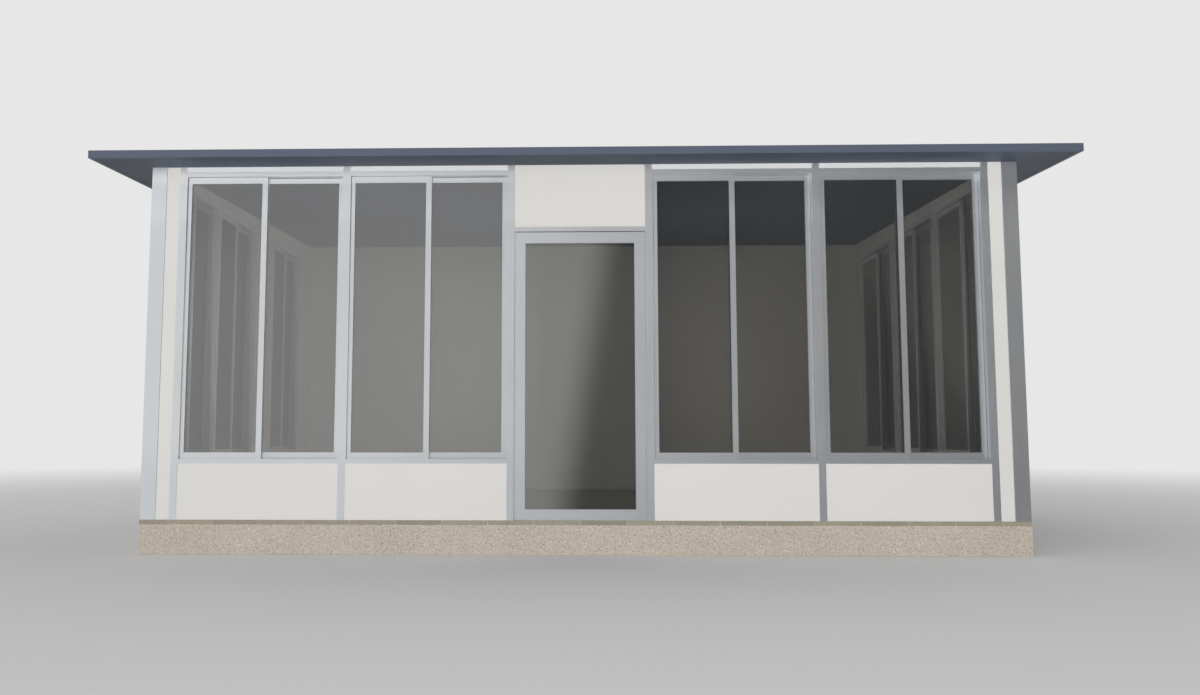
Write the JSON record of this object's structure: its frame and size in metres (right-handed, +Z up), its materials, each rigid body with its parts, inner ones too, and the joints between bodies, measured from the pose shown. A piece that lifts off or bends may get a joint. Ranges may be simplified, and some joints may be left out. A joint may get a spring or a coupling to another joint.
{
  "type": "sunroom",
  "caption": "Free-standing aluminium-framed sunroom with sliding windows on three sides, a full-glass door in the front and a low mono-pitch roof, on a concrete base.",
  "frame": {"origin": "on the ground, under the middle of the roof's outline", "axes": "+X along the front wall, to the right for someone facing the door from outside; +Y from the front wall to the rear wall; +Z up"},
  "size_m": [7.0132, 4.84, 3.0289],
  "materials": {
    "concrete": "rough",
    "tile": "satin",
    "frame": "satin",
    "panel": "satin",
    "glass": "polished",
    "hinge": "satin",
    "soffit": "satin",
    "fascia": "satin"
  },
  "bodies": {
    "room": {"base_slab": "concrete", "floor_tiles": "tile", "front_left_corner_post": "frame", "front_right_corner_post": "frame", "rear_left_corner_post": "frame", "rear_right_corner_post": "frame", "rear_wall_panels": "panel", "door_transom_panel": "panel", "door_head": "frame", "door_threshold": "frame", "door_left_jamb": "frame", "door_right_jamb": "frame", "frame_hinges": "hinge", "roof_panels": "soffit", "front_fascia": "fascia", "right_fascia": "fascia", "rear_fascia": "fascia", "left_fascia": "fascia", "front_mullions": "frame", "front_knee_panels": "panel", "front_header_panels": "panel", "front_filler_panels": "panel", "front_window_frames": "frame", "front_outer_sashes": "frame", "front_inner_sashes": "frame", "front_window_glass": "glass", "right_mullions": "frame", "right_knee_panels": "panel", "right_header_panels": "panel", "right_filler_panels": "panel", "right_window_frames": "frame", "right_outer_sashes": "frame", "right_inner_sashes": "frame", "right_window_glass": "glass", "left_mullions": "frame", "left_knee_panels": "panel", "left_header_panels": "panel", "left_filler_panels": "panel", "left_window_frames": "frame", "left_outer_sashes": "frame", "left_inner_sashes": "frame", "left_window_glass": "glass"},
    "door": {"door_leaf_frame": "frame", "door_glass": "glass", "leaf_hinges": "hinge"}
  },
  "joints": [
    {"name": "door_hinge", "type": "hinge", "parent": "room", "child": "door", "pos_m": [-0.4718, -2.0315, 0.252], "axis": [0, 0, 1], "range_deg": [0, 90]}
  ]
}
